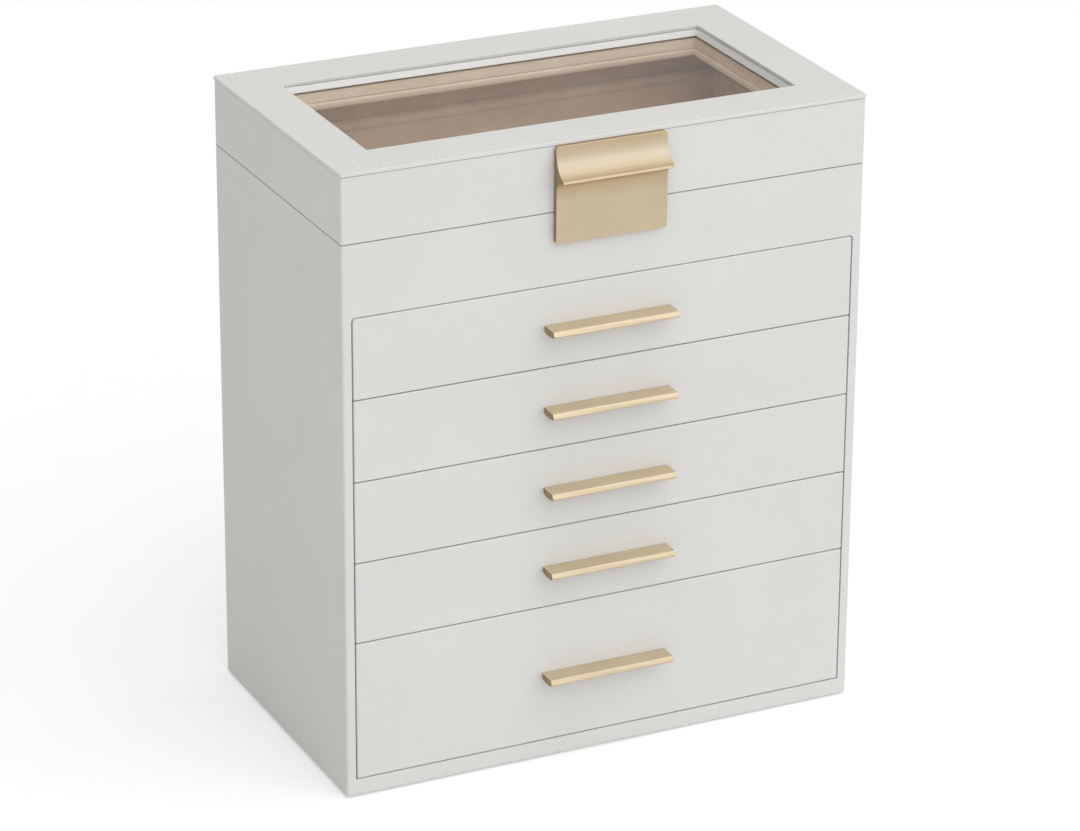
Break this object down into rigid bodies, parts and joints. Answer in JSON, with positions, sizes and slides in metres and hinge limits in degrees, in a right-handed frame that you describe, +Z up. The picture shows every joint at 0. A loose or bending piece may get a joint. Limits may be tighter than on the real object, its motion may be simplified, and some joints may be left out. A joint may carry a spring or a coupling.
{
  "type": "jewelry box",
  "caption": "Tabletop jewelry box in white leatherette with a hinged, glazed lid over a velvet compartment and a stack of shallow pull-out drawers.",
  "frame": {"origin": "middle of the underside, on the surface that the box stands on", "axes": "+Z up, the drawers and the clasp face -Y, +X to the right seen from the front"},
  "size_m": [0.27, 0.1691, 0.315],
  "materials": {
    "leatherette": "fine-grained white leatherette, satin",
    "velvet": "short-pile taupe velvet",
    "lined_board": "thin board covered in beige paper",
    "champagne_gold": "satin champagne gold plating",
    "steel": "plain",
    "glass": "clear"
  },
  "bodies": {
    "case": {"left_side_panel": "leatherette", "right_side_panel": "leatherette", "base_felt": "velvet", "base_panel": "leatherette", "back_panel": "leatherette", "front_rail": "leatherette", "catch_magnet": "steel", "compartment_floor": "lined_board", "drawer_shelf_1": "lined_board", "drawer_shelf_2": "lined_board", "drawer_shelf_3": "lined_board", "drawer_shelf_4": "lined_board", "compartment_liner": "velvet", "compartment_divider": "velvet", "ring_roll_1": "velvet", "ring_roll_2": "velvet", "ring_roll_3": "velvet", "ring_roll_4": "velvet", "left_hinge_case_leaf": "champagne_gold", "left_hinge_pin": "champagne_gold", "right_hinge_case_leaf": "champagne_gold", "right_hinge_pin": "champagne_gold"},
    "lid": {"lid_wall_ring": "leatherette", "lid_top_frame": "leatherette", "glass_pane": "glass", "glass_retainer": "velvet", "clasp_pull": "champagne_gold", "clasp_magnet": "steel", "left_hinge_lid_leaf": "champagne_gold", "right_hinge_lid_leaf": "champagne_gold"},
    "drawer_1": {"drawer_1_front": "leatherette", "drawer_1_tray": "lined_board", "drawer_1_lining": "velvet", "drawer_1_handle": "champagne_gold", "drawer_1_handle_screw_left": "steel", "drawer_1_handle_screw_right": "steel"},
    "drawer_2": {"drawer_2_front": "leatherette", "drawer_2_tray": "lined_board", "drawer_2_lining": "velvet", "drawer_2_handle": "champagne_gold", "drawer_2_handle_screw_left": "steel", "drawer_2_handle_screw_right": "steel"},
    "drawer_3": {"drawer_3_front": "leatherette", "drawer_3_tray": "lined_board", "drawer_3_lining": "velvet", "drawer_3_handle": "champagne_gold", "drawer_3_handle_screw_left": "steel", "drawer_3_handle_screw_right": "steel"},
    "drawer_4": {"drawer_4_front": "leatherette", "drawer_4_tray": "lined_board", "drawer_4_lining": "velvet", "drawer_4_handle": "champagne_gold", "drawer_4_handle_screw_left": "steel", "drawer_4_handle_screw_right": "steel"},
    "drawer_5": {"drawer_5_front": "leatherette", "drawer_5_tray": "lined_board", "drawer_5_lining": "velvet", "drawer_5_handle": "champagne_gold", "drawer_5_handle_screw_left": "steel", "drawer_5_handle_screw_right": "steel"}
  },
  "joints": [
    {"name": "lid_hinge", "type": "hinge", "parent": "case", "child": "lid", "pos_m": [0, 0.0794, 0.2805], "axis": [-1, 0, 0], "range_deg": [0, 100]},
    {"name": "drawer_1_slide", "type": "slide", "parent": "case", "child": "drawer_1", "axis": [0, -1, 0], "range_m": [0, 0.11]},
    {"name": "drawer_2_slide", "type": "slide", "parent": "case", "child": "drawer_2", "axis": [0, -1, 0], "range_m": [0, 0.11]},
    {"name": "drawer_3_slide", "type": "slide", "parent": "case", "child": "drawer_3", "axis": [0, -1, 0], "range_m": [0, 0.11]},
    {"name": "drawer_4_slide", "type": "slide", "parent": "case", "child": "drawer_4", "axis": [0, -1, 0], "range_m": [0, 0.11]},
    {"name": "drawer_5_slide", "type": "slide", "parent": "case", "child": "drawer_5", "axis": [0, -1, 0], "range_m": [0, 0.11]}
  ]
}
